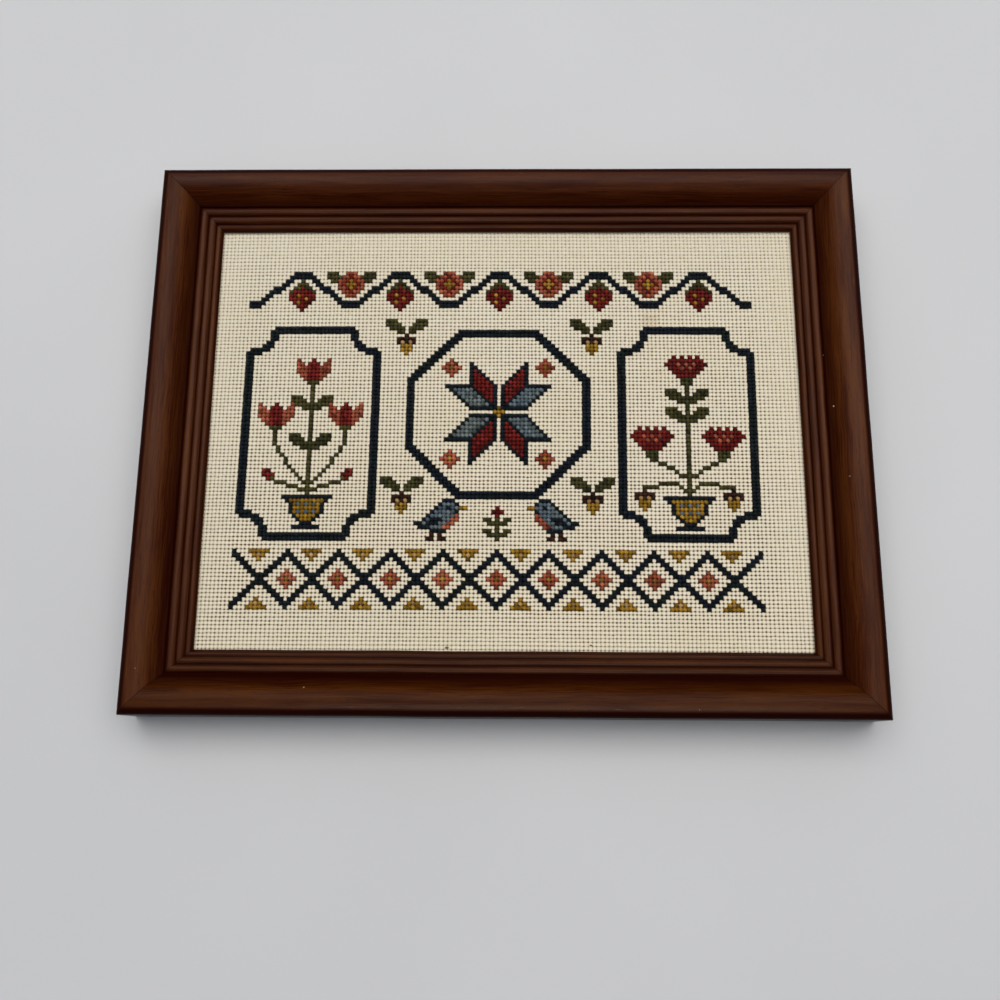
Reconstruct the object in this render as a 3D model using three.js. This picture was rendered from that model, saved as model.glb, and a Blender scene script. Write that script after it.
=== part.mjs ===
// A framed piece of counted cross stitch, lying on its back.
// Four mitred rails of a reeded wooden moulding carry a stretched cloth and its mounting board
// in their rebate. Millimetres: +X to the right of the picture, +Y towards its top, +Z out of its
// face, with the origin in the middle of the frame's back.
import * as THREE from "three";

// Work: the cloth and board are cut to this size
const workWidth = 203.2;
const workHeight = 152.4;
const clothThickness = 1;
const boardThickness = 3;

// Frame
const fitAllowance = 1.6; // how much wider and higher the rebate is than the work
const pieceGap = 0.3; // clearance between neighbouring pieces
const moulding = {
  height: 19, // back to crown
  rebateDepth: 10.6, // back to the underside of the lip
  rebateWall: 14.5, // outer side to the wall of the rebate
  sightEdge: 20.4, // outer side to the inner edge of the lip
  arrisWidth: 2.6, // the rounded outer corner
  arrisHeight: 2.4,
  crownAt: 4.5, // outer side to the highest line of the broad band
  bandEnd: 12.5, // outer side to the foot of the band
  bandDrop: 3.7, // crown to the foot of the band
  footWidth: 0.2, // the foot, before it drops into the first groove
};
const grooves = [
  // distance from the outer side, depth below the crown
  { at: 13.1, drop: 4.6 },
  { at: 15.7, drop: 5.5 },
  { at: 18.15, drop: 6.6 },
  { at: 20, drop: 7.4 },
];
const reedRises = [0.85, 0.8, 0.5]; // how far each reed stands above the line between its grooves
const curveSteps = 8;

const frameWidth = workWidth + fitAllowance + 2 * moulding.rebateWall;
const frameHeight = workHeight + fitAllowance + 2 * moulding.rebateWall;

const colours = {
  rail: { color: 0x43261d, roughness: 0.35, metalness: 0 },
  cloth: { color: 0xe2dac3, roughness: 0.95, metalness: 0 },
  board: { color: 0x8a6a48, roughness: 0.85, metalness: 0 },
};

function named(name, geometry, look) {
  const mesh = new THREE.Mesh(geometry, new THREE.MeshStandardMaterial(look));
  mesh.name = name;
  return mesh;
}

// A round bead from one groove to the next: the arc over their chord with the given rise.
function addReed(section, from, to, rise) {
  const start = new THREE.Vector2(from.at, moulding.height - from.drop);
  const end = new THREE.Vector2(to.at, moulding.height - to.drop);
  const halfChord = start.distanceTo(end) / 2;
  const radius = (halfChord ** 2 + rise ** 2) / (2 * rise);
  const up = new THREE.Vector2(start.y - end.y, end.x - start.x).normalize();
  const centre = start.clone().add(end).multiplyScalar(0.5).addScaledVector(up, rise - radius);
  const angleTo = (point) => Math.atan2(point.y - centre.y, point.x - centre.x);
  section.absarc(centre.x, centre.y, radius, angleTo(start), angleTo(end), true);
}

// The moulding's section: x runs in from the outer side, y runs up from the back.
function mouldingSection() {
  const m = moulding;
  const bandCurve = m.bandDrop / (m.bandEnd - m.crownAt) ** 2;
  const bandHeight = (x) => m.height - bandCurve * (x - m.crownAt) ** 2;
  const bandSlope = (x) => -2 * bandCurve * (x - m.crownAt);
  const arrisTop = bandHeight(m.arrisWidth);
  const bandMiddle = (m.arrisWidth + m.bandEnd) / 2;
  const bandControl = arrisTop + bandSlope(m.arrisWidth) * (bandMiddle - m.arrisWidth);

  const section = new THREE.Shape();
  section.moveTo(0, 0);
  section.lineTo(0, arrisTop - m.arrisHeight);
  section.absellipse(
    m.arrisWidth, arrisTop - m.arrisHeight, m.arrisWidth, m.arrisHeight, Math.PI, Math.PI / 2, true,
  );
  section.quadraticCurveTo(bandMiddle, bandControl, m.bandEnd, m.height - m.bandDrop);
  section.lineTo(m.bandEnd + m.footWidth, m.height - m.bandDrop - 0.1);
  section.lineTo(grooves[0].at, m.height - grooves[0].drop);
  reedRises.forEach((rise, i) => addReed(section, grooves[i], grooves[i + 1], rise));
  section.lineTo(m.sightEdge, m.rebateDepth);
  section.lineTo(m.rebateWall, m.rebateDepth);
  section.lineTo(m.rebateWall, 0);
  section.closePath();
  return section;
}

// One mitred length of moulding. It is made as the bottom rail, whose outer side faces -Y, and
// turned about the middle of the frame. Each end slopes in at 45 degrees, so a point lies as much
// nearer the middle of the length as it lies in from the outer side.
function rail(name, length, across, quarterTurns) {
  const bar = new THREE.ExtrudeGeometry(mouldingSection(), {
    depth: 1, steps: 1, bevelEnabled: false, curveSegments: curveSteps,
  });
  const mitreSetback = pieceGap / Math.SQRT2;
  const points = bar.attributes.position;
  for (let i = 0; i < points.count; i++) {
    const inset = points.getX(i);
    const height = points.getY(i);
    const end = points.getZ(i) > 0.5 ? 1 : -1;
    points.setXYZ(i, end * (length / 2 - inset - mitreSetback), inset - across / 2, height);
  }
  const mesh = named(name, bar, colours.rail);
  mesh.rotation.z = (quarterTurns * Math.PI) / 2;
  return mesh;
}

// The flat pieces in the rebate: each is a sheet of the work's size whose top is given.
function sheet(name, thickness, top, look) {
  const mesh = named(name, new THREE.BoxGeometry(workWidth, workHeight, thickness), look);
  mesh.position.z = top - thickness / 2;
  return mesh;
}

function frame() {
  const group = new THREE.Group();
  group.add(
    rail("rail_bottom", frameWidth, frameHeight, 0),
    rail("rail_right", frameHeight, frameWidth, 1),
    rail("rail_top", frameWidth, frameHeight, 2),
    rail("rail_left", frameHeight, frameWidth, 3),
  );
  return group;
}

function work() {
  const clothTop = moulding.rebateDepth - pieceGap;
  const boardTop = clothTop - clothThickness - pieceGap;
  const group = new THREE.Group();
  group.add(
    sheet("cloth", clothThickness, clothTop, colours.cloth),
    sheet("backing_board", boardThickness, boardTop, colours.board),
  );
  return group;
}

const sampler = new THREE.Group();
sampler.add(frame(), work());

export default sampler;
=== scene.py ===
# A framed cross stitch sampler that lies on its back on a pale table.
# The frame of the model is in metres: +X right, +Y up the picture, +Z out of its face. Sizes here are in mm.
import math
from functools import partial

import bpy
import numpy as np
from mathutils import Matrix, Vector


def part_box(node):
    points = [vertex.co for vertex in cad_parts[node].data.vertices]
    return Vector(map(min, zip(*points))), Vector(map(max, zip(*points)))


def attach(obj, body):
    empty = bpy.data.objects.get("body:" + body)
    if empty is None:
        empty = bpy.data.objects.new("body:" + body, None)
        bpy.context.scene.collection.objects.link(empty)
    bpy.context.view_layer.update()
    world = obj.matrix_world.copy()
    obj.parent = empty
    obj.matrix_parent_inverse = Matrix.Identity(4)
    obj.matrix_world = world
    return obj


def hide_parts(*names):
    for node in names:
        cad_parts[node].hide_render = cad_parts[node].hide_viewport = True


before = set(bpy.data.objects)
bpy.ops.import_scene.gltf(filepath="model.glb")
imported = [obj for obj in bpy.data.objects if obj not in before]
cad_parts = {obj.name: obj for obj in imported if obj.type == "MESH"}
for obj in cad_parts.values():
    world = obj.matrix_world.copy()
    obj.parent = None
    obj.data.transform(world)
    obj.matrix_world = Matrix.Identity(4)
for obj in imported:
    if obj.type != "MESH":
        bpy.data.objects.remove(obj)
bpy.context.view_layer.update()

mm = 0.001
random = np.random.default_rng(1847)


def linear(hexColour):
    # sRGB hex to linear RGBA
    channels = [int(hexColour[k:k + 2], 16) / 255 for k in (1, 3, 5)]
    return [c / 12.92 if c <= 0.04045 else ((c + 0.055) / 1.055) ** 2.4 for c in channels] + [1.0]


def addNode(tree, kind, inputs=(), ramp=None, **settings):
    # A shader node. Settings are its properties. Inputs are its sockets, in order or by name, and each takes
    # a value, an output, or a whole node for that node's first output.
    node = tree.nodes.new("ShaderNode" + kind)
    for name, value in settings.items():
        setattr(node, name, value)
    if ramp:
        stops = node.color_ramp.elements
        while len(stops) < len(ramp):
            stops.new(0.5)
        for stop, (position, colour) in zip(stops, ramp):
            stop.position = position
            stop.color = linear(colour)
    for socket, value in inputs.items() if isinstance(inputs, dict) else enumerate(inputs):
        if isinstance(value, bpy.types.Node):
            value = value.outputs[0]
        if isinstance(value, bpy.types.NodeSocket):
            tree.links.new(value, node.inputs[socket])
        else:
            node.inputs[socket].default_value = value
    return node


def addUp(node, start, *layers):
    # the start, and on it each layer's value times its share
    for value, share in layers:
        start = node("Math", (value, share, start), operation="MULTIPLY_ADD")
    return start


def newMaterial(name, surface):
    # surface(node) builds the nodes and returns the shader; node is addNode for this material's tree
    material = bpy.data.materials.new(name)
    material.use_nodes = True
    material.node_tree.nodes.clear()
    node = partial(addNode, material.node_tree)
    node("OutputMaterial", {"Surface": surface(node)})
    return material


def newMesh(name, points, faceSets, materials, smoothAngle):
    # faceSets holds arrays of faces, each of its own corner count, with the number of their material
    mesh = bpy.data.meshes.new(name)
    corners = np.concatenate([faces.ravel() for faces, _ in faceSets]).astype(np.int32)
    counts = np.concatenate([np.full(len(faces), faces.shape[1]) for faces, _ in faceSets])
    slots = np.concatenate([np.broadcast_to(slot, len(faces)) for faces, slot in faceSets])
    mesh.vertices.add(len(points))
    mesh.vertices.foreach_set("co", (np.asarray(points) * mm).astype(np.float32).ravel())
    mesh.loops.add(len(corners))
    mesh.loops.foreach_set("vertex_index", corners)
    mesh.polygons.add(len(counts))
    mesh.polygons.foreach_set("loop_start", np.concatenate([[0], np.cumsum(counts)[:-1]]).astype(np.int32))
    mesh.update(calc_edges=True)
    for material in materials:
        mesh.materials.append(material)
    mesh.polygons.foreach_set("material_index", slots.astype(np.int32))
    mesh.shade_smooth()
    mesh.set_sharp_from_angle(angle=math.radians(smoothAngle))
    return mesh


def newObject(name, data):
    thing = bpy.data.objects.new(name, data)
    bpy.context.scene.collection.objects.link(thing)
    return thing


def newPiece(name, mesh, replaced=()):
    piece = newObject(name, mesh)
    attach(piece, "root")
    if replaced:
        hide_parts(*replaced)
    return piece


def keepOnPoints(mesh, name, values):
    # a vector on every point, for the materials
    mesh.attributes.new(name, "FLOAT_VECTOR", "POINT").data.foreach_set(
        "vector", np.asarray(values, np.float32).ravel())


def keepOnCorners(mesh, name, values):
    # the points' flat coordinates, as a UV map
    corners = np.empty(len(mesh.loops), np.int32)
    mesh.loops.foreach_get("vertex_index", corners)
    mesh.uv_layers.new(name=name).data.foreach_set("uv", values[corners].astype(np.float32).ravel())


def wander(count, spacing, size):
    # a smooth random curve: values about nought that turn every "spacing" samples
    knots = random.normal(0, size, count // spacing + 4)
    return np.interp(np.arange(count) / spacing, np.arange(len(knots)), knots)


print("camera and light")
camera = {
    "lens": 37.8,
    "sensor": 36,
    "place": (5.013, -100.253, 339.901),  # mm
    "turn": (13.2355, 0.9847, 0.4222),  # degrees about X, Y and Z
}
light = {
    "skyBright": "#f4f7ff",
    "skyDark": "#6b6d70",  # behind the camera
    "skyLean": (0.0, 0.5, 0.87),  # where the room is brightest
    "skyStrength": 0.56,
    # size and place in mm, power in W: a softbox overhead that leans in from beyond the top of the picture,
    # what the lacquer shows of it, and what it shows of a lamp behind the camera
    "panels": {
        "softbox": {"size": (3000, 1450), "place": (110, 590, 1950), "power": 32, "gloss": False},
        "softbox_gloss": {"size": (3000, 1450), "place": (110, 950, 1950), "power": 22, "gloss": True},
        "lamp_gloss": {"size": (800, 420), "place": (60, -490, 1240), "power": 4.0, "gloss": True},
    },
    "panelColour": "#fffaf4",
}


def addCamera(c):
    data = bpy.data.cameras.new("camera")
    data.lens = c["lens"]
    data.sensor_width = c["sensor"]
    data.clip_start = 0.01
    viewpoint = newObject("camera", data)
    viewpoint.location = Vector(c["place"]) * mm
    viewpoint.rotation_euler = [math.radians(angle) for angle in c["turn"]]
    bpy.context.scene.camera = viewpoint


def addLight(p):
    world = bpy.data.worlds.new("studio")
    bpy.context.scene.world = world
    world.use_nodes = True
    world.node_tree.nodes.clear()
    node = partial(addNode, world.node_tree)
    direction = node("TexCoord").outputs["Generated"]
    towards = node("VectorMath", (direction, p["skyLean"]), operation="DOT_PRODUCT").outputs["Value"]
    sky = node("ValToRGB", {"Fac": towards}, ramp=[(0, p["skyDark"]), (0.9, p["skyBright"])])
    glow = node("Background", {"Color": sky, "Strength": p["skyStrength"]})
    node("OutputWorld", {"Surface": glow})

    for name, settings in p["panels"].items():
        data = bpy.data.lights.new(name, "AREA")
        data.shape = "RECTANGLE"
        data.size, data.size_y = np.array(settings["size"]) * mm
        data.energy = settings["power"]
        data.color = linear(p["panelColour"])[:3]
        panel = newObject(name, data)
        panel.visible_glossy = settings["gloss"]
        panel.visible_diffuse = not settings["gloss"]
        panel.location = Vector(settings["place"]) * mm
        panel.rotation_euler = (-panel.location).to_track_quat("-Z", "Y").to_euler()


addCamera(camera)
addLight(light)
bpy.context.scene.view_settings.view_transform = "Standard"

print("table")
table = {
    "size": 3000,
    "drop": 0.05,  # just clear of the frame's back
    "dark": "#cfd1d3",
    "pale": "#d3d5d7",
    "mottle": 111,  # mm
}


def tableSurface(node):
    # Laminate, pressed smooth: an even pale grey with a soft, wide sheen.
    place = node("TexCoord").outputs["Object"]
    mottle = node("TexNoise", {"Vector": place, "Scale": 1 / (table["mottle"] * mm), "Detail": 2.0})
    tone = node("ValToRGB", {"Fac": mottle}, ramp=[(0.3, table["dark"]), (0.7, table["pale"])])
    return node("BsdfPrincipled", {
        "Base Color": tone, "Roughness": 0.5, "IOR": 1.5, "Specular IOR Level": 0.35})


def addTable(p):
    half = p["size"] / 2
    points = [(x * half, y * half, -p["drop"]) for x, y in ((-1, -1), (1, -1), (1, 1), (-1, 1))]
    mesh = newMesh("table", points, [(np.array([[0, 1, 2, 3]]), 0)],
                   [newMaterial("pressedLaminate", tableSurface)], 30)
    newObject("table", mesh)


addTable(table)

print("moulding")
moulding = {
    "height": 19,  # back to crown
    "rebateDepth": 10.6,
    "rebateWall": 14.5,
    "sightEdge": 20.4,
    "arrisWidth": 2.6,
    "arrisHeight": 2.4,
    "crownAt": 4.5,
    "bandEnd": 12.5,
    "bandDrop": 3.7,
    "footWidth": 0.2,  # where the band stops, before it drops into the first groove
    "grooves": ((13.1, 4.6), (15.7, 5.5), (18.15, 6.6), (20, 7.4)),  # from the outer side, below the crown
    "reedRises": (0.85, 0.8, 0.5),
    "softening": 0.2,  # how far sanding and lacquer round each corner
    "mitreGap": 0.1,
    "steps": 150,  # along a rail
    "unevenness": 0.03,
    "swell": (1.0, 0.8),  # how much longer and higher the lacquered frame is than its nominal size
}
wood = {
    "deepStainAndShade": "#1d0403",  # stain gathered in the pores, stain and painted shade in the grooves, painted shade on the outer side, and how much of each there is
    "poreStain": 0.75,
    "grooveStainAndShade": 0.9,
    # painted shade on the outer side
    "outerShade": 0.9,
    # how each length took the stain and the lacquer: its colour, its shine, how much stain and painted shade
    # gathered in the grooves, how far that reaches from a groove's line and how far it leans to the inner
    # side, mm;
    # the painted shade differs from length to length as the light falls on each
    "lengths": {
        "bottom": {"stain": "#3d1a04", "shine": 0.75, "gatheredStainAndShade": 1.2, "reach": 0.85, "lean": -0.3},
        "right": {"stain": "#46200b", "shine": 0.95, "gatheredStainAndShade": 0.85, "reach": 0.6, "lean": 0.0},
        "top": {"stain": "#3e1906", "shine": 1.05, "gatheredStainAndShade": 0.7, "reach": 0.6, "lean": 0.25},
        "left": {"stain": "#45200c", "shine": 0.9, "gatheredStainAndShade": 0.85, "reach": 0.6, "lean": 0.0},
    },
    "darkFibre": (0.62, 0.5, 0.5),  # times the stain
    "paleFibre": (1.5, 1.8, 1.7),
    "worn": "#8a5428",  # where the stain has rubbed thin
    "wornThrough": 0.6,
    "roughness": 0.27,
    "specular": 0.14,
    "amber": "#fff0e4",  # the lacquer's own colour
    "streaks": {  # length and width in mm, then the detail and roughness of the noise
        "flame": (45, 2.0, 3.0, 0.5),  # the broader bands of growth
        "fibre": (14, 0.35, 2.0, 0.6),
        "pores": (3.5, 0.22, 1.0, 0.4),
        "drift": (55, 7, 2.0, 0.5),  # how evenly the stain took
        "patches": (8, 0.5, 3.0, 0.6),  # where an edge is rubbed
    },
    "waver": 20,  # mm between the bends of the grain, and how far they go
    "waverSize": 2.0,
    "speck": "#b39c8a",
    "speckSpacing": 6,  # mm
    "speckSize": 0.045,  # of that spacing
    "speckShare": 0.18,
    # across the section, in mm: how stain, painted shade and shine change on the outer side, the edge, the
    # band and the foot
    "outerEnd": 2.5,
    "outerBlend": 0.6,
    "edgeAt": 2.8,
    "edgeReach": 1.0,
    "edgeRub": 0.6,
    "dullFrom": 7,
    "dullBlend": 0.8,
    "footReach": 3.2,
    "footGatherAndShade": 0.8,
    "grooveGatherAndShade": 0.8,
    "grooveDull": 0.5,
    "outerDull": 0.8,
}


def cornerRounded(path, size):
    # every sharp corner of the closed outline becomes a short arc of three points
    rounded = []
    for k, here in enumerate(path):
        before, after = path[k - 1], path[(k + 1) % len(path)]
        toBefore, toAfter = before - here, after - here
        lengthBefore, lengthAfter = np.linalg.norm(toBefore), np.linalg.norm(toAfter)
        bend = math.degrees(math.acos(np.clip(-toBefore @ toAfter / lengthBefore / lengthAfter, -1, 1)))
        if bend < 25:
            rounded.append(here)
            continue
        start = here + toBefore / lengthBefore * min(size, lengthBefore / 3)
        end = here + toAfter / lengthAfter * min(size, lengthAfter / 3)
        rounded += [start, (start + end) / 4 + here / 2, end]
    return np.array(rounded)


def arcOver(start, end, rise, count):
    # points after the start on the arc from start to end that stands "rise" above their chord
    chord = end - start
    half = np.linalg.norm(chord) / 2
    radius = (half ** 2 + rise ** 2) / (2 * rise)
    up = np.array([-chord[1], chord[0]]) / (2 * half)
    centre = (start + end) / 2 + up * (rise - radius)
    sweep = math.asin(half / radius)
    angles = np.linspace(-sweep, sweep, count + 1)[1:]
    along = chord / (2 * half)
    return [centre + radius * (math.sin(a) * along + math.cos(a) * up) for a in angles]


def mouldingSection(m, w, length):
    # the outline as (in from the outer side, up from the back), and the finish of each point: how exposed
    # it is, from 1 on an edge that rubs to -1 in a groove and at the foot of the band, where stain gathers
    # and shade is painted; how far it is on the outer side, which is painted in shade; and how much the
    # lacquer shines, dull where the sander didn't reach
    curve = m["bandDrop"] / (m["bandEnd"] - m["crownAt"]) ** 2
    arrisTop = m["height"] - curve * (m["arrisWidth"] - m["crownAt"]) ** 2
    arrisFoot = arrisTop - m["arrisHeight"]
    path = [(0, 0), (0, arrisFoot * 0.4), (0, arrisFoot * 0.8), (0, arrisFoot)]
    for angle in np.linspace(0, math.pi / 2, 9)[1:]:
        path.append((m["arrisWidth"] * (1 - math.cos(angle)), arrisFoot + m["arrisHeight"] * math.sin(angle)))
    for across in np.linspace(m["arrisWidth"], m["bandEnd"], 19)[1:]:
        path.append((across, m["height"] - curve * (across - m["crownAt"]) ** 2))
    path.append((m["bandEnd"] + m["footWidth"], m["height"] - m["bandDrop"] - 0.1))
    grooves = [np.array([across, m["height"] - drop]) for across, drop in m["grooves"]]
    path.append(grooves[0])
    for start, end, rise in zip(grooves, grooves[1:], m["reedRises"]):
        path += arcOver(start, end, rise, 9)
    lip, wall, shelf = m["sightEdge"], m["rebateWall"], m["rebateDepth"]
    path += [(lip, shelf + 0.6), (lip, shelf), (wall, shelf), (wall, shelf / 2), (wall, 0), (wall / 2, 0)]
    path = cornerRounded(np.array(path, float), m["softening"])
    finishAndShade = np.zeros((len(path), 3))
    for k, (across, up) in enumerate(path):
        nearest = min(math.hypot(across - g[0] - length["lean"], up - g[1]) for g in grooves)
        onBand = across < m["bandEnd"] + 0.7
        # stain gathers and shade is painted in the grooves and at the foot of the band
        wearAndShade = -w["grooveGatherAndShade"] * math.exp(-(nearest / length["reach"]) ** 2)
        if onBand:
            wearAndShade -= w["footGatherAndShade"] * math.exp(-((across - m["bandEnd"] - 0.4) / w["footReach"]) ** 2)
        if up > m["height"] - 3:
            wearAndShade += w["edgeRub"] * math.exp(-((across - w["edgeAt"]) / w["edgeReach"]) ** 2)
        outer = np.clip((w["outerEnd"] - across) / w["outerBlend"], 0, 1)
        shine = 1 / (1 + math.exp((across - w["dullFrom"]) / w["dullBlend"])) if onBand else 1
        shine *= (1 - math.exp(-(nearest / w["grooveDull"]) ** 2)) * (1 - w["outerDull"] * outer)
        finishAndShade[k] = wearAndShade, outer, shine
    return path, finishAndShade


def woodSurface(node, lacquered):
    # Hardwood moulding, planed to its section, stained reddish brown and sprayed with satin lacquer:
    # fine fibres and open pores run along it under an even, soft shine, with shade painted into the grooves,
    # at the foot of the band and on the outer side.
    grain = node("Attribute", attribute_name="grain").outputs["Vector"]  # along, across, rail
    finishAndShade = node("Attribute", attribute_name="finishAndShade").outputs["Vector"]
    wearAndShade, outer, shine = node("SeparateXYZ", {"Vector": finishAndShade}).outputs
    waver = node("TexNoise", {"Vector": grain, "Scale": 1 / wood["waver"], "Detail": 2.0})
    bent = node("VectorMath", (waver.outputs["Color"], (0.0, wood["waverSize"], 0.0)), operation="MULTIPLY")
    path = node("VectorMath", (grain, bent), operation="ADD")
    streaks = {}
    for name, (along, across, detail, rough) in wood["streaks"].items():
        stretched = node("Mapping", {"Vector": path, "Scale": (1 / along, 1 / across, 1)})
        streaks[name] = node("TexNoise", {
            "Vector": stretched, "Scale": 1.0, "Detail": detail, "Roughness": rough})

    fibres = addUp(node, 0.0, (streaks["flame"], 0.4), (streaks["fibre"], 0.6))
    stain = node("Attribute", attribute_name="stain").outputs["Vector"]
    dark = node("VectorMath", (stain, wood["darkFibre"]), operation="MULTIPLY")
    pale = node("VectorMath", (stain, wood["paleFibre"]), operation="MULTIPLY")
    uneven = addUp(node, fibres, (streaks["drift"], 0.45))
    paleness = node("MapRange", (uneven, 0.6, 0.88))
    colour = node("Mix", {0: paleness, 6: dark, 7: pale}, data_type="RGBA").outputs[2]
    pores = node("MapRange", (streaks["pores"], 0.66, 0.74, 0.0, wood["poreStain"]))
    # stain and painted shade in the grooves and at the foot of the band
    gatheredStainAndShade = node("MapRange", (wearAndShade, -0.05, -0.85, 0.0, wood["grooveStainAndShade"]))
    # painted shade on the outer side
    outerShade = node("Math", (outer, wood["outerShade"]), operation="MULTIPLY")
    thin = node("Math", (wearAndShade, streaks["patches"]), operation="MULTIPLY")
    thin = node("MapRange", (thin, 0.36, 0.42, 0.0, wood["wornThrough"]))
    # one small nick or speck of dust in some of the cells, each a few millimetres across
    cells = node("TexVoronoi", {"Vector": grain, "Scale": 1 / wood["speckSpacing"]})
    chance = node("SeparateXYZ", {"Vector": cells.outputs["Color"]}).outputs
    speck = node("Math", (cells.outputs["Distance"], wood["speckSize"]), operation="LESS_THAN")
    chosen = node("Math", (chance["X"], 1 - wood["speckShare"]), operation="GREATER_THAN")
    for factor in (chosen, chance["Y"]):
        speck = node("Math", (speck, factor), operation="MULTIPLY")
    for amount, tone in ((pores, wood["deepStainAndShade"]), (gatheredStainAndShade, wood["deepStainAndShade"]), (outerShade, wood["deepStainAndShade"]),
                         (thin, wood["worn"]), (speck, wood["speck"])):
        colour = node("Mix", {0: amount, 6: colour, 7: linear(tone)}, data_type="RGBA").outputs[2]
    bump = node("Bump", {
        "Height": addUp(node, streaks["fibre"], (pores, -1.5)),
        "Strength": 0.12 if lacquered else 0.5, "Distance": 0.05 * mm})
    inputs = {"Base Color": colour, "Normal": bump, "Roughness": 0.75, "IOR": 1.5}
    if lacquered:
        dullest, smoothest = wood["roughness"] + 0.06, wood["roughness"] - 0.04
        inputs["Roughness"] = node("MapRange", (fibres, 0.3, 0.7, dullest, smoothest))
        inputs["Specular IOR Level"] = node("Math", (shine, wood["specular"]), operation="MULTIPLY")
        inputs["Specular Tint"] = linear(wood["amber"])
    return node("BsdfPrincipled", inputs)


def addRail(side, m, length, across, quarterTurns, materials):
    # made as the bottom rail, which runs along X with its outer side to -Y, and turned into place
    piece = wood["lengths"][side]
    section, finishesAndShade = mouldingSection(m, wood, piece)
    count = len(section)
    around = np.concatenate([[0], np.cumsum(np.linalg.norm(np.diff(section, axis=0), axis=1))])
    stations = np.linspace(-1, 1, m["steps"] + 1)
    reach = length / 2 - section[:, 0] - m["mitreGap"]
    points = np.empty((len(stations), count, 3))
    points[..., 0] = stations[:, None] * reach
    points[..., 1] = section[:, 0] - across / 2 + wander(len(stations), 12, m["unevenness"])[:, None]
    points[..., 2] = section[:, 1]
    showing = section[:, 1] > m["rebateDepth"]
    points[:, showing, 2] += wander(len(stations), 9, m["unevenness"])[:, None]
    grain = np.empty_like(points)
    grain[..., 0] = points[..., 0] + 700 * quarterTurns
    grain[..., 1] = around
    grain[..., 2] = 31 * quarterTurns
    finishAndShade = np.broadcast_to(finishesAndShade * [1, 1, piece["shine"]], points.shape).copy()
    # each length's own strength of gathered stain and painted shade
    finishAndShade[..., 0] *= np.where(finishAndShade[..., 0] < 0, piece["gatheredStainAndShade"], 1)
    stain = np.broadcast_to(linear(piece["stain"])[:3], points.shape)
    turn = quarterTurns * math.pi / 2
    x, y = points[..., 0].copy(), points[..., 1].copy()
    points[..., 0] = x * math.cos(turn) - y * math.sin(turn)
    points[..., 1] = x * math.sin(turn) + y * math.cos(turn)

    ring = np.arange(count)
    nextRing = np.roll(ring, -1)
    base = np.arange(len(stations) - 1)[:, None] * count
    sides = np.stack([base + ring, base + ring + count, base + nextRing + count, base + nextRing], -1)
    hidden = (section[:, 1] < m["rebateDepth"] + 0.1) & (section[:, 0] > 0.3)
    sideSlots = np.broadcast_to((hidden & hidden[nextRing]).astype(int), sides.shape[:2])
    ends = np.array([ring[::-1], ring + (len(stations) - 1) * count])
    mesh = newMesh("moulding_" + side, points.reshape(-1, 3),
                   [(sides.reshape(-1, 4), sideSlots.ravel()), (ends[:, ::-1], 1)], materials, 28)
    keepOnPoints(mesh, "grain", grain)
    keepOnPoints(mesh, "finishAndShade", finishAndShade)
    keepOnPoints(mesh, "stain", stain)
    return mesh


def addRails(m):
    low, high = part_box("rail_bottom")
    length = (high[0] - low[0]) / mm + m["swell"][0]
    low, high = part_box("rail_left")
    height = (high[1] - low[1]) / mm + m["swell"][1]
    materials = [
        newMaterial("hardwoodStainedLacquered", lambda node: woodSurface(node, True)),
        newMaterial("hardwoodStainedBare", lambda node: woodSurface(node, False)),
    ]
    for turns, side in enumerate(("bottom", "right", "top", "left")):
        along, across = (length, height) if turns % 2 == 0 else (height, length)
        mesh = addRail(side, m, along, across, turns, materials)
        newPiece("moulding_" + side, mesh, ["rail_" + side])


addRails(moulding)

print("cloth")
cloth = {
    "width": 203.2,
    "height": 152.4,
    "thickness": 1,
    "top": 10.3,
    "pitch": 1.2915,  # hole to hole, nearly 20 squares to the inch
    "columns": 152,  # squares from one side of the opening to the other and a little under the lip
    "rows": 112,
    "uneven": 0.05,  # how much the squares differ in size
    "holeReach": 0.3,  # rim of a hole from its middle, in squares
    "holeDepth": 0.5,
    "colour": "#f7eccf",
    "pale": "#fdf5e1",
    "lowerLeftTone": "#f5edd6",  # the tone towards the lower left
    "shadow": "#5e4522",  # what shows through a hole
    "furrowShade": "#a8966f",  # painted shade between two blocks
    "threadsPerSquare": 4,
    "jitter": 0.03,  # mm, how far each hole strays
    "rowSway": (0.22, 31, 0.6),  # how the lines of holes sway: mm, mm to the radian, start
    "columnSway": (0.18, 43, 2.1),
    "slack": (0.07, 23, 19),  # how the cloth sinks: mm, and mm to the radian across and up
    # the stitched field in squares; its pull has opened the holes, and they close up towards the frame
    "fieldMiddle": (74.5, 56.0, 0.0),
    "fieldHalf": (65.5, 45.0, 0.0),
    "closed": {"radius": 0.17, "holeShade": 0.45},  # of a hole outside the field
    "pulled": {"radius": 0.045, "holeShade": 0.4},  # what the pull adds
    "chance": {"radius": 0.05, "holeShade": 0.15},  # what each hole's own chance adds
    "paintedShadeByRow": (1.33, 0.66),  # how strong the painted shade in the furrows and holes is at the bottom and at the top
    "brightnessUpward": (1.0, 0.91),  # how much of its brightness the cloth keeps at the bottom and at the top
    "lowerLeftLean": (0.0085, 0.004, 0.0),
    "cloud": 35.7,  # mm
    "marks": {  # the middle and the size in squares, how much flatter than wide, colour and strength
        "stain": ((113.6, 86.7), 3.0, 1.0, "#cdb58f", 0.35),
        "leftFleck": ((62.9, 1.4), 0.75, 2.4, "#35291c", 0.9),
        "rightFleck": ((97.7, 2.3), 0.5, 2.4, "#35291c", 0.9),
    },
}


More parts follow.
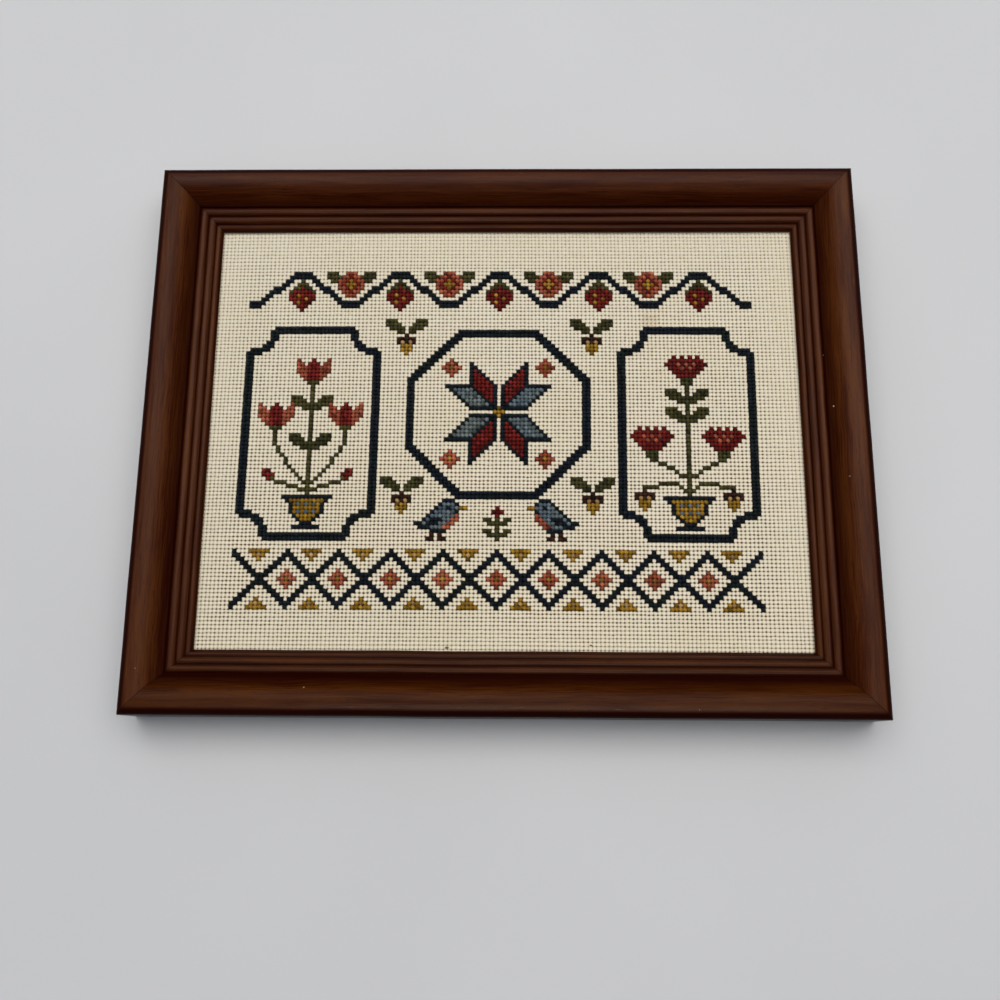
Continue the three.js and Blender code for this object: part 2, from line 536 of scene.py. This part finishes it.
def unevenLine(count, uneven):
    # places of count + 1 threads about nought, one pitch apart on average
    gaps = 1 + random.normal(0, uneven, count) + wander(count, 6, uneven / 2)
    line = np.concatenate([[0], np.cumsum(gaps)])
    return (line - line[-1] * 0.5) * cloth["pitch"] * count / line[-1]


class Weave:
    # the grid of holes that the cloth and every stitch share
    def __init__(self, c):
        self.columns = unevenLine(c["columns"], c["uneven"])
        self.rows = unevenLine(c["rows"], c["uneven"])
        shape = (c["columns"] + 1, c["rows"] + 1)
        self.x = self.columns[:, None] + random.normal(0, c["jitter"], shape)
        self.y = self.rows[None, :] + random.normal(0, c["jitter"], shape)
        self.x += self.sway(self.rows, *c["rowSway"])[None, :]
        self.y += self.sway(self.columns, *c["columnSway"])[:, None]
        sink, across, up = c["slack"]
        self.z = c["top"] + sink * (np.sin(self.x / across) * np.sin(self.y / up + 1) - 1)

    def sway(self, line, size, length, start):
        return size * np.sin(line / length + start)

    def place(self, column, row):
        return np.stack([self.x[column, row], self.y[column, row], self.z[column, row]], -1)


def addCloth(c, weave, material):
    columns, rows = c["columns"] + 1, c["rows"] + 1
    holes = np.stack([weave.x, weave.y, weave.z], -1)
    reach = c["holeReach"] * c["pitch"]
    offsets = [(0, 0), (1, 0), (0, 1), (-1, 0), (0, -1)]  # middle, right, up, left, down
    points = np.repeat(holes[:, :, None], 5, axis=2)
    points[..., :2] += np.array(offsets) * reach
    points[:, :, 0, 2] -= c["holeDepth"]
    count = columns * rows
    number = (np.arange(count) * 5).reshape(columns, rows)

    def corner(columnFrom, rowFrom, side):
        return number[columnFrom:columns - 1 + columnFrom, rowFrom:rows - 1 + rowFrom] + side

    right, up, left, down = 1, 2, 3, 4
    squares = np.stack([
        corner(0, 0, right), corner(1, 0, left), corner(1, 0, up), corner(1, 1, down),
        corner(1, 1, left), corner(0, 1, right), corner(0, 1, down), corner(0, 0, up)], -1).reshape(-1, 8)
    pits = np.concatenate([
        np.stack([number, number + a, number + b], -1).reshape(-1, 3)
        for a, b in ((right, up), (up, left), (left, down), (down, right))])

    # plain margins out to the cut edges, which the lip covers
    halfWidth, halfHeight = c["width"] / 2, c["height"] / 2
    top, low = c["top"] - 0.1, c["top"] - c["thickness"]
    extra = []

    def edgePoint(x, y, z):
        extra.append((x, y, z))
        return count * 5 + len(extra) - 1

    corners = {(sx, sy, z): edgePoint(sx * halfWidth, sy * halfHeight, z)
               for sx in (-1, 1) for sy in (-1, 1) for z in (top, low)}
    margins = []
    walls = []
    for line, sideways, sx in ((0, left, -1), (columns - 1, right, 1)):
        border = [edgePoint(sx * halfWidth, holes[line, r, 1], top) for r in range(rows)]
        for r in range(rows - 1):
            a, b = number[line, r], number[line, r + 1]
            face = [border[r], a + sideways, a + up, b + down, b + sideways, border[r + 1]]
            margins.append(face if sx < 0 else face[::-1])
        walls.append([corners[sx, -1, top]] + border
                     + [corners[sx, 1, top], corners[sx, 1, low], corners[sx, -1, low]])
    sideBorders = walls[0][1:-3], walls[1][1:-3]
    for line, upright, sy in ((0, down, -1), (rows - 1, up, 1)):
        border = [edgePoint(holes[k, line, 0], sy * halfHeight, top) for k in range(columns)]
        for k in range(columns - 1):
            a, b = number[k, line], number[k + 1, line]
            face = [border[k], a + upright, a + right, b + left, b + upright, border[k + 1]]
            margins.append(face[::-1] if sy < 0 else face)
        walls.append([corners[-1, sy, top]] + border
                     + [corners[1, sy, top], corners[1, sy, low], corners[-1, sy, low]])
        nearRow = 0 if sy < 0 else -1
        for sideBorder, hole, sx, sideways, endPoint in (
                (sideBorders[0], 0, -1, left, border[0]),
                (sideBorders[1], columns - 1, 1, right, border[-1])):
            a = number[hole, line]
            face = [corners[sx, sy, top], sideBorder[nearRow], a + sideways, a + upright, endPoint]
            margins.append(face if sx * sy < 0 else face[::-1])
    faceSets = [(pits, 0), (squares, 0)]
    for size in sorted({len(face) for face in margins}):
        faceSets.append((np.array([face for face in margins if len(face) == size]), 0))
    for k, wall in enumerate(walls):
        faceSets.append((np.array([wall if k in (1, 2) else wall[::-1]]), 0))
    base = [corners[-1, -1, low], corners[-1, 1, low], corners[1, 1, low], corners[1, -1, low]]
    faceSets.append((np.array([base]), 0))

    every = np.concatenate([points.reshape(-1, 3), np.array(extra)])
    mesh = newMesh("cloth_weave", every, faceSets, [material], 70)

    # squares counted across and up, so that whole numbers fall on the holes
    counted = np.empty((len(every), 2))
    whole = np.stack(np.divmod(np.arange(count), rows), -1)
    for k, offset in enumerate(offsets):
        counted[k:count * 5:5] = whole + np.array(offset) * c["holeReach"]
    outside = np.array(extra)[:, :2] / c["pitch"]
    counted[count * 5:] = outside + [c["columns"] / 2, c["rows"] / 2]
    keepOnCorners(mesh, "weave", counted)
    return mesh


def clothSurface(node):
    # Cotton, woven in blocks of four threads with a hole at each corner, undyed and slightly aged:
    # matt and warm, every block a low cushion with painted shade between,
    # every hole a dot of painted shade of its own depth.
    uv = node("UVMap", uv_map="weave").outputs["UV"]
    axes = node("SeparateXYZ", {"Vector": uv}).outputs
    place = node("TexCoord").outputs["Object"]

    # how far each point is from the nearest hole, and that hole's own chance
    cell = node("VectorMath", (uv, (0.5, 0.5, 0.0)), operation="ADD")
    cell = node("VectorMath", (cell,), operation="FLOOR")
    offset = node("VectorMath", (uv, cell), operation="SUBTRACT")
    leant = node("Mapping", {"Vector": offset, "Rotation": (0.0, 0.0, 0.3), "Scale": (0.95, 1.15, 1.0)})
    fromHole = node("VectorMath", (leant,), operation="LENGTH").outputs["Value"]
    chance = node("TexWhiteNoise", {"Vector": cell}, noise_dimensions="2D")
    fromField = node("VectorMath", (uv, cloth["fieldMiddle"]), operation="SUBTRACT")
    fromField = node("VectorMath", (fromField,), operation="ABSOLUTE")
    fromField = node("VectorMath", (fromField, cloth["fieldHalf"]), operation="SUBTRACT")
    fromField = node("SeparateXYZ", {"Vector": fromField}).outputs
    fromField = node("Math", (fromField["X"], fromField["Y"]), operation="MAXIMUM")
    pulled = node("MapRange", (fromField, -2.0, 9.0, 1.0, 0.0))
    # the size of each hole's painted shade, and how dark it is
    radius, holeShade = [
        addUp(node, cloth["closed"][kind], (pulled, cloth["pulled"][kind]), (chance, cloth["chance"][kind]))
        for kind in ("radius", "holeShade")]
    inside = node("Math", (radius, fromHole), operation="SUBTRACT")
    hole = node("MapRange", (inside, -0.09, 0.06))
    # the painted shade in the furrows and holes is stronger towards the bottom
    rowShade = node("MapRange", (axes["Y"], 0.0, cloth["rows"], *cloth["paintedShadeByRow"]))
    holeShade = node("Math", (hole, holeShade), operation="MULTIPLY")
    holeShade = node("Math", (holeShade, rowShade), operation="MULTIPLY")

    def wave(axis, turns):
        # nought at each edge between the threads or blocks
        angle = node("Math", (axes[axis], math.pi * turns), operation="MULTIPLY")
        return node("Math", (angle,), operation="SINE")

    warp, weft = [wave(axis, cloth["threadsPerSquare"]) for axis in "XY"]
    over = node("Math", (warp, weft), operation="MULTIPLY")
    seen = []
    for thread, side in ((warp, 0.5), (weft, -0.5)):
        height = node("Math", (thread,), operation="ABSOLUTE")
        seen.append(node("Math", (height, addUp(node, 0.5, (over, side))), operation="MULTIPLY"))
    threads = node("Math", seen, operation="ADD")
    blocks = []
    for axis, roundness in (("X", 0.45), ("Y", 0.75)):
        block = node("Math", (wave(axis, 1),), operation="ABSOLUTE")
        blocks.append(node("Math", (block, roundness), operation="POWER"))
    cushion = node("Math", blocks, operation="MULTIPLY")

    # long slubs in each thread, soft clouds, and a tone that leans to the lower left
    slubs = []
    for stretch in ((0.08, 1.0, 1.0), (1.0, 0.08, 1.0)):
        slub = node("Mapping", {"Vector": uv, "Scale": stretch})
        slubs.append((node("TexNoise", {"Vector": slub, "Scale": 2.0, "Detail": 1.0}), 0.35))
    cloudy = node("TexNoise", {"Vector": place, "Scale": 1 / (cloth["cloud"] * mm), "Detail": 3.0})
    fresh = node("ValToRGB", {"Fac": addUp(node, 0.0, *slubs, (cloudy, 0.3))}, ramp=[
        (0.35, cloth["colour"]), (0.62, cloth["pale"])])
    lean = node("VectorMath", (uv, cloth["lowerLeftLean"]), operation="DOT_PRODUCT").outputs["Value"]
    lowerLeftShare = node("MapRange", (addUp(node, lean, (cloudy, 0.3)), 0.1, 1.0, 1.0, 0.0))
    colour = node("Mix", {0: lowerLeftShare, 6: fresh, 7: linear(cloth["lowerLeftTone"])}, data_type="RGBA")
    # a little darker towards the top
    brightnessUpward = node("MapRange", (axes["Y"], 0.0, cloth["rows"], *cloth["brightnessUpward"]))
    colour = node("VectorMath", {0: colour.outputs[2], "Scale": brightnessUpward}, operation="SCALE")

    def marked(under, mark):
        # a mark on the cloth, ragged where the noise bends it
        middle, size, flatness, tone, strength = cloth["marks"][mark]
        ragged = node("TexNoise", {"Vector": uv, "Scale": 1.3 / size, "Detail": 2.0})
        bent = node("VectorMath", (ragged.outputs["Color"], (size, size, 0.0)), operation="MULTIPLY")
        bent = node("VectorMath", (uv, bent), operation="ADD")
        middle = (middle[0] + size / 2, middle[1] + size / 2, 0.0)
        away = node("VectorMath", (bent, middle), operation="SUBTRACT")
        away = node("VectorMath", (away, (1.0, flatness, 1.0)), operation="MULTIPLY")
        away = node("VectorMath", (away,), operation="LENGTH").outputs["Value"]
        amount = node("MapRange", (away, size, size * 0.5, 0.0, strength))
        return node("Mix", {0: amount, 6: under, 7: linear(tone)}, data_type="RGBA").outputs[2]

    colour = marked(colour, "stain")
    # painted shade in the furrows between blocks and in the holes
    hollow = node("Math", (1.0, cushion), operation="SUBTRACT")
    furrowShade = addUp(node, 0.15, (threads, -0.15), (hollow, 0.46))
    furrowShade = node("Math", (furrowShade, rowShade), operation="MULTIPLY")
    for amount, tone in ((furrowShade, cloth["furrowShade"]), (holeShade, cloth["shadow"])):
        colour = node("Mix", {0: amount, 6: colour, 7: linear(tone)}, data_type="RGBA").outputs[2]
    for fleck in ("leftFleck", "rightFleck"):
        colour = marked(colour, fleck)
    height = addUp(node, 0.0, (hole, -1.0), (threads, 0.4), (cushion, 0.8))
    bump = node("Bump", {"Height": height, "Strength": 0.5, "Distance": 0.12 * mm})
    return node("BsdfPrincipled", {
        "Base Color": colour, "Normal": bump, "Roughness": 0.9, "IOR": 1.5,
        "Specular IOR Level": 0.15, "Sheen Weight": 0.08, "Sheen Roughness": 0.5,
    })


weave = Weave(cloth)
clothPiece = newPiece("cloth_weave", addCloth(cloth, weave, newMaterial("cottonWovenInBlocks", clothSurface)),
                      ["cloth"])

print("chart")
# Thread letters: n navy, b slate blue, r brick red, s salmon, o ochre, g olive, d dark brown, t tan.
# Each letter in a motif is one cross stitch and a dot is bare cloth.
sampler = {
    "columns": 131,
    "vine": {"middle": 83, "swing": 4, "period": 26},
    "diamondWidth": 13,
    "plaque": {"centres": (17, 113), "row": 45, "halfWidth": 17, "halfHeight": 28, "scoop": 6},
    "octagon": {"centre": 65, "row": 50, "halfWidth": 23, "halfHeight": 22, "cut": 13},
    "starReach": 7,
}

motifs = {
    "strawberry": """
    ..ggg..
    .ggrgg.
    grrrrrg
    rrorrrr
    rrrrorr
    .rorrr.
    ..rrr..
    ...r...
    """,
    "blossom": """
    ..sss..
    .ssrss.
    ssrorss
    srooors
    ssrorss
    .ssrss.
    ..sss..
    """,
    "leaf": """
    ..ggg
    .gggg
    gggg.
    gg...
    """,
    "tulip": """
    s...r...s
    ss.rrr.ss
    sssrrrsss
    sssrrrsss
    .ssrrrss.
    ..srrrs..
    ...ggg...
    """,
    "carnation": """
    ..r.r.r.r..
    .rrrrrrrrr.
    rrrsrsrsrrr
    .rrrsrsrrr.
    ..rrrrrrr..
    ...rrrrr...
    ....ggg....
    ....ggg....
    """,
    "urn": """
    nnnnnnnnnnnnn
    .nooooooooon.
    ..nobobobon..
    ..nooooooon..
    ..nobobobon..
    ...nooooon...
    ....nooon....
    .....nnn.....
    ...nnnnnnn...
    """,
    "bird": """
    .......nnn......
    ......nbbbn.....
    .....nbbnbboo...
    ....nbbbbbn.....
    ...nbbbbbbs.....
    ..nbnnnbbss.....
    nnbnnnbbss......
    .nnnbbbss.......
    ....nnnn........
    ....d.d.........
    ...dd.dd........
    """,
    "sprig": """
    ...r...
    ..rrr..
    ...r...
    gg.g.gg
    .ggggg.
    ...g...
    gg.g.gg
    .ggggg.
    ...g...
    """,
    "acorn": """
    ...d...
    .ddddd.
    .dtdtd.
    ..ooo..
    ..ooo..
    ...o...
    """,
    "flowerlet": """
    ..s..
    .sss.
    ssoss
    .sss.
    ..s..
    """,
    "tooth": """
    ooooo
    .oto.
    ..o..
    """,
    "bud": """
    .rr
    rrr
    gr.
    """,
}


def sewMotif(area, name, column, row, flip=False, upsideDown=False):
    # column and row are those of the motif's lower left stitch
    lines = motifs[name].split()[::1 if upsideDown else -1]
    for up, line in enumerate(lines):
        for along, thread in enumerate(line[::-1] if flip else line):
            if thread != ".":
                area[column + along, row + up] = thread


def sewPair(area, name, middle, out, row, flip=False):
    # mirror twins, each "out" stitches from the middle column
    wide = len(motifs[name].split()[0])
    sewMotif(area, name, middle + out, row, flip)
    sewMotif(area, name, middle - out - wide + 1, row, not flip)


def sewRun(area, points, thread, middle=None):
    # a line of stitches from point to point, mirrored about the middle column where one is given
    for (c0, r0), (c1, r1) in zip(points, points[1:]):
        steps = max(abs(c1 - c0), abs(r1 - r0), 1)
        for k in range(steps + 1):
            column = round(c0 + (c1 - c0) * k / steps)
            row = round(r0 + (r1 - r0) * k / steps)
            area[column, row] = thread
            if middle is not None:
                area[2 * middle - column, row] = thread


def inOctagon(x, y, p, shrink):
    sides = abs(x) <= p["halfWidth"] - shrink and abs(y) <= p["halfHeight"] - shrink
    return sides and abs(x) + abs(y) <= p["halfWidth"] + p["halfHeight"] - p["cut"] - 1.5 * shrink


def inPlaque(x, y, p, shrink):
    sides = abs(x) <= p["halfWidth"] - shrink and abs(y) <= p["halfHeight"] - shrink
    fromCorner = math.hypot(abs(x) - p["halfWidth"], abs(y) - p["halfHeight"])
    return sides and fromCorner > p["scoop"] + shrink


def sewOutline(area, inside, p, column):
    # a line two stitches thick
    for x in range(-p["halfWidth"], p["halfWidth"] + 1):
        for y in range(-p["halfHeight"], p["halfHeight"] + 1):
            if inside(x, y, p, 0) and not inside(x, y, p, 2):
                area[column + x, p["row"] + y] = "n"


def vineBorder(p):
    area = {}
    vine = p["vine"]
    top = vine["middle"] + vine["swing"]
    for column in range(p["columns"]):
        turn = 2 * math.pi * column / vine["period"]
        row = round(vine["middle"] - vine["swing"] * math.cos(turn))
        area[column, row] = area[column, row + 1] = "n"
    for crest in range(vine["period"] // 2, p["columns"], vine["period"]):
        area[crest, top - 1] = "g"
        sewMotif(area, "strawberry", crest - 3, top - 9)
    for dip in range(vine["period"], p["columns"] - 1, vine["period"]):
        sewPair(area, "leaf", dip, 2, top - 2)
        sewMotif(area, "blossom", dip - 3, top - 5)
    return area


def diamondBorder(p):
    area = {}
    wide = p["diamondWidth"]
    for column in range(p["columns"]):
        rise = min(column % wide, wide - column % wide)
        for row in (rise, wide - rise):
            area[column, row] = area[column, row + 1] = "n"
    for tip in range(wide, p["columns"] - 1, wide):
        sewMotif(area, "flowerlet", tip - 2, wide // 2 - 1)
    for gap in range(0, p["columns"] - wide, wide):
        sewMotif(area, "tooth", gap + 4, wide - 1)
        sewMotif(area, "tooth", gap + 4, 0, upsideDown=True)
    return area


def sewPetals(area, column, row, reach):
    # an eight-pointed star of slanted petals, each outlined
    for y in range(reach):
        for x in range(y, y + reach):
            edge = y in (0, reach - 1) or x in (y, y + reach - 1)
            for along, up, fill in ((x + 1, y + 1, "b"), (y + 1, x + 1, "r")):
                for signX in (1, -1):
                    for signY in (1, -1):
                        area[column + signX * along, row + signY * up] = "n" if edge else fill
    for k in (-1, 0, 1):
        area[column + k, row] = area[column, row + k] = "o"


def starPanel(p):
    area = {}
    panel = p["octagon"]
    sewOutline(area, inOctagon, panel, panel["centre"])
    sewPetals(area, panel["centre"], panel["row"], p["starReach"])
    for up in (12, -12):
        sewPair(area, "flowerlet", panel["centre"], 10, panel["row"] + up - 2)
    return area


def potPlaque(p, centre):
    # an urn in a plaque with scooped corners, and the stem of the plant in it
    area = {}
    plaque = p["plaque"]
    sewOutline(area, inPlaque, plaque, centre)
    sewMotif(area, "urn", centre - 6, plaque["row"] - 25)
    sewRun(area, [(centre, 29), (centre, 57)], "g")
    return area


def tulipPlaque(p):
    centre = p["plaque"]["centres"][0]
    area = potPlaque(p, centre)
    sewRun(area, [(centre, 31), (centre - 5, 36), (centre - 9, 42), (centre - 9, 45)], "g", centre)
    sewRun(area, [(centre, 30), (centre - 5, 31), (centre - 9, 33)], "g", centre)
    sewMotif(area, "tulip", centre - 4, 58)
    sewPair(area, "tulip", centre, 5, 46)
    sewPair(area, "leaf", centre, 1, 41)
    sewPair(area, "leaf", centre, 1, 51)
    sewPair(area, "bud", centre, 9, 33)
    return area


def carnationPlaque(p):
    centre = p["plaque"]["centres"][1]
    area = potPlaque(p, centre)
    sewRun(area, [(centre, 33), (centre - 4, 36), (centre - 9, 38)], "g", centre)
    sewRun(area, [(centre, 30), (centre - 4, 32), (centre - 11, 31)], "g", centre)
    sewMotif(area, "carnation", centre - 5, 58)
    sewPair(area, "carnation", centre, 4, 39)
    sewPair(area, "leaf", centre, 1, 53)
    sewPair(area, "leaf", centre, 1, 48)
    sewPair(area, "acorn", centre, 8, 25)
    return area


def garden(p):
    area = {}
    middle = p["octagon"]["centre"]
    sewPair(area, "bird", middle, 5, 17, flip=True)
    sewMotif(area, "sprig", middle - 3, 17)
    for row in (24, 66):
        sewPair(area, "acorn", middle, 21, row)
        sewPair(area, "leaf", middle, 25, row + 6)
        sewPair(area, "leaf", middle, 19, row + 6, flip=True)
    return area


areas = {
    "vine_border": vineBorder(sampler),
    "tulip_plaque": tulipPlaque(sampler),
    "star_panel": starPanel(sampler),
    "carnation_plaque": carnationPlaque(sampler),
    "birds_and_acorns": garden(sampler),
    "diamond_border": diamondBorder(sampler),
}

print("stitches")
stitches = {
    "firstColumn": 9,  # of the weave's holes, where the chart's lower left stitch begins
    "firstRow": 11,
    "halfWidth": 0.5,  # two strands of floss side by side
    "thickness": 0.27,
    "sink": 0.3,  # how far an end dives into its hole
    "lowerRise": 0.1,
    "upperRise": 0.38,
    "untidiness": 0.035,
    "along": (0.0, 0.2, 0.5, 0.8, 1.0),  # where a strand's outlines are, and how wide and how high
    "widths": (0.62, 1.0, 0.96, 1.0, 0.62),
    "lifts": (0, 0.7, 1, 0.7, 0),
    "outline": ((-1, 0.1), (-0.52, 1), (0, 0.3), (0.52, 1), (1, 0.1), (0, -0.5)),  # two lobes
    "plumpness": 0.05,
    "buriedAlong": (1, 0.35, 0, 0.35, 1),  # how little light reaches each outline and each of its points
    "buriedAround": (0.6, 0, 0.5, 0, 0.6, 0.8),
    "shades": 0.26,  # how much the stitches differ
    # painted shade on the lower leg and painted highlight on the upper leg
    "lowerShade": -0.25,
    "upperShade": 0.12,
    "dyeLength": 14.3,  # mm
}
flossColours = {
    # name, and the two ends of how the dye varies along the skein
    "n": ("flossNavy", "#10191b", "#0d1722"),
    "b": ("flossSlateBlue", "#6a7573", "#5d6c75"),
    "r": ("flossBrickRed", "#66120d", "#761c14"),
    "s": ("flossSalmon", "#ad6044", "#9d4c33"),
    "o": ("flossOchre", "#a87f2a", "#977119"),
    "g": ("flossOlive", "#3c3b1b", "#4a4622"),
    "d": ("flossDarkBrown", "#2e1709", "#361d0f"),
    "t": ("flossTan", "#b39262", "#a98452"),
}


def flossSurface(oneEnd, otherEnd):
    # Cotton floss, mercerised, two strands twisted: a soft silky line along each strand, painted highlight
    # on the twist's ridges and on the upper leg, painted shade on the lower leg, between the lobes and where
    # it dives into the cloth, and a little different from stitch to stitch.
    def surface(node):
        uv = node("UVMap", uv_map="ply").outputs["UV"]  # mm along the strand, and across it
        axes = node("SeparateXYZ", {"Vector": uv}).outputs
        stitchTintAndShade = node("Attribute", attribute_name="tintAndShade").outputs["Vector"]
        stitchTintAndShade = node("SeparateXYZ", {"Vector": stitchTintAndShade}).outputs
        place = node("TexCoord").outputs["Object"]
        twist = addUp(node, 0.0, (axes["Y"], 2.4), (axes["X"], 13.0))
        ridge = node("Math", (twist,), operation="SINE")
        fuzz = node("TexNoise", {"Vector": uv, "Scale": 7.0, "Detail": 2.0})
        dye = node("TexNoise", {"Vector": place, "Scale": 1 / (stitches["dyeLength"] * mm), "Detail": 2.0})
        dyed = node("ValToRGB", {"Fac": dye}, ramp=[(0.4, oneEnd), (0.6, otherEnd)])
        # each stitch's own difference, with painted highlight and shade on its ridges and legs
        level = addUp(node, stitchTintAndShade["X"], (ridge, 0.2), (fuzz, 0.5))
        shade = node("MapRange", (level, -0.4, 0.9, 0.3, 2.2))
        # painted shade where the strand dives into its hole and between its lobes
        buried = node("MapRange", (stitchTintAndShade["Y"], 0.0, 1.0, 1.0, 0.15))
        shade = node("Math", (shade, buried), operation="MULTIPLY")
        colour = node("VectorMath", {0: dyed, "Scale": shade}, operation="SCALE")
        bump = node("Bump", {"Height": ridge, "Strength": 0.7, "Distance": 0.06 * mm})
        return node("BsdfPrincipled", {
            "Base Color": colour, "Normal": bump, "Roughness": 0.3, "IOR": 1.5, "Specular IOR Level": 0.15})
    return surface


def strandSet(s, starts, ends, rise, shade):
    # lengths of floss from hole to hole, each a flattened tube of two lobes that dives in at both ends
    along, widths, lifts = [np.array(s[name]) for name in ("along", "widths", "lifts")]
    outline = np.array(s["outline"])
    lifts = np.where(lifts > 0, lifts * rise, -s["sink"])
    run = ends - starts
    length = np.linalg.norm(run[:, :2], axis=1)
    sideways = np.stack([-run[:, 1], run[:, 0]], -1) / length[:, None]
    count, rings, around = len(starts), len(along), len(outline)
    spread = s["halfWidth"] * (1 + random.normal(0, s["plumpness"], count))
    points = np.empty((count, rings, around, 3))
    middle = starts[:, None] + run[:, None] * along[None, :, None]
    reach = spread[:, None, None] * widths[None, :, None] * outline[:, 0]
    points[..., :2] = middle[:, :, None, :2] + sideways[:, None, None, :] * reach[..., None]
    up = lifts[None, :, None] + s["thickness"] * widths[None, :, None] * outline[:, 1]
    points[..., 2] = middle[:, :, None, 2] + up
    ply = np.empty((count, rings, around, 2))
    ply[..., 0] = (length[:, None] * along)[:, :, None] + random.uniform(0, 9, count)[:, None, None]
    ply[..., 1] = outline[:, 0] * s["halfWidth"] * 3
    tintAndShade = np.zeros((count, rings, around, 3))
    # each stitch's own difference plus its leg's painted shade, then the painted shade of each point
    tintAndShade[..., 0] = (random.normal(0, s["shades"], count) + shade)[:, None, None]
    tintAndShade[..., 1] = np.array(s["buriedAlong"])[:, None] + np.array(s["buriedAround"])
    ring = np.arange(around)
    sides = np.stack([ring, np.roll(ring, -1), np.roll(ring, -1) + around, ring + around], -1)
    sides = np.concatenate([sides + around * k for k in range(rings - 1)])
    first = np.arange(count)[:, None, None] * rings * around
    caps = np.stack([ring, ring[::-1] + around * (rings - 1)])
    return points, ply, tintAndShade, (first + sides[:, ::-1]), (first + caps)


def addStitches(name, area, s, weave, materials):
    cells = np.array(sorted(area))
    threads = np.array([list(flossColours).index(area[tuple(cell)]) for cell in cells.tolist()])
    column, row = cells[:, 0] + s["firstColumn"], cells[:, 1] + s["firstRow"]
    lowLeft, highRight = weave.place(column, row), weave.place(column + 1, row + 1)
    highLeft, lowRight = weave.place(column, row + 1), weave.place(column + 1, row)
    nudge = random.normal(0, s["untidiness"], (4, len(cells), 3)) * [1, 1, 0.3]
    legs = [
        strandSet(s, lowLeft + nudge[0], highRight + nudge[1], s["lowerRise"], s["lowerShade"]),
        strandSet(s, lowRight + nudge[2], highLeft + nudge[3], s["upperRise"], s["upperShade"]),
    ]
    points, ply, tintAndShade = [
        np.concatenate([leg[part].reshape(-1, leg[part].shape[-1]) for leg in legs]) for part in range(3)]
    faceSets = []
    used = sorted(set(threads.tolist()))
    slotOf = np.array([used.index(t) for t in threads])
    for k, leg in enumerate(legs):
        for faces in leg[3:]:
            shifted = faces + k * len(points) // 2
            faceSets.append((shifted.reshape(-1, faces.shape[-1]), np.repeat(slotOf, faces.shape[1])))
    mesh = newMesh(name, points, faceSets, [materials[t] for t in used], 80)
    keepOnPoints(mesh, "tintAndShade", tintAndShade)
    keepOnCorners(mesh, "ply", ply)
    return newPiece(name, mesh)


flossMaterials = [newMaterial(name, flossSurface(*ends)) for name, *ends in flossColours.values()]
stitchPieces = [
    addStitches("stitches_" + name, area, stitches, weave, flossMaterials)
    for name, area in areas.items()
]

print("backing board")
board = {
    "width": 203.2,
    "height": 152.4,
    "thickness": 3,
    "back": 6,
    "easing": 0.35,  # the sawn edge, just broken
    "colour": "#7d5b3c",
    "pale": "#9a7650",
    "dark": "#54391f",
    "grain": {  # size in mm, then the noise's detail, its distortion and its share
        "fibre": (0.714, 3.0, 1.5, 0.4),
        "felt": (3.85, 4.0, 2.5, 0.45),
        "cloud": (45.5, 2.0, 0.0, 0.2),
    },
    "sawMarks": 0.05,
}


def boardSurface(node):
    # Hardboard, hot-pressed wood fibre: matt brown with short felted fibres and pale flecks.
    place = node("TexCoord").outputs["Object"]
    layers = []
    for size, detail, distortion, share in board["grain"].values():
        layers.append((node("TexNoise", {
            "Vector": place, "Scale": 1 / (size * mm), "Detail": detail, "Distortion": distortion}), share))
    felted = addUp(node, 0.0, *layers)
    tone = node("ValToRGB", {"Fac": felted}, ramp=[
        (0.4, board["dark"]), (0.53, board["colour"]), (0.68, board["pale"])])
    bump = node("Bump", {"Height": felted, "Strength": 0.5, "Distance": 0.1 * mm})
    return node("BsdfPrincipled", {"Base Color": tone, "Normal": bump, "Roughness": 0.82, "IOR": 1.5})


def addBoard(b, material):
    # rings up the edge, from the back's flat face to the front's
    ease = b["easing"]
    lower = [(ease * 1.5, 0), (ease * 0.3, ease * 0.3), (0, ease * 1.3)]
    profile = lower + [(inset, b["thickness"] - up) for inset, up in lower[::-1]]
    perSide = 24
    along = np.linspace(-1, 1, perSide + 1)[:-1]
    edge = np.ones(perSide)
    loop = np.concatenate([
        np.stack([along, -edge], -1), np.stack([edge, along], -1),
        np.stack([-along, edge], -1), np.stack([-edge, -along], -1)])
    rings = []
    wobble = random.normal(0, b["sawMarks"], (len(loop), 1))
    for inset, up in profile:
        half = np.array([b["width"] / 2 - inset, b["height"] / 2 - inset])
        flat = loop * (half - b["sawMarks"] + wobble * 0.5)
        rings.append(np.concatenate([flat, np.full((len(loop), 1), b["back"] + up)], 1))
    ring = np.arange(len(loop))
    base = np.arange(len(rings) - 1)[:, None] * len(loop)
    nextRing = np.roll(ring, -1)
    sides = np.stack([base + ring, base + nextRing, base + nextRing + len(loop), base + ring + len(loop)], -1)
    caps = np.array([ring[::-1], ring + (len(rings) - 1) * len(loop)])
    faceSets = [(sides.reshape(-1, 4), 0), (caps, 0)]
    return newMesh("board_pressed", np.concatenate(rings), faceSets, [material], 60)


newPiece("board_pressed", addBoard(board, newMaterial("hardboardPressed", boardSurface)),
         ["backing_board"])
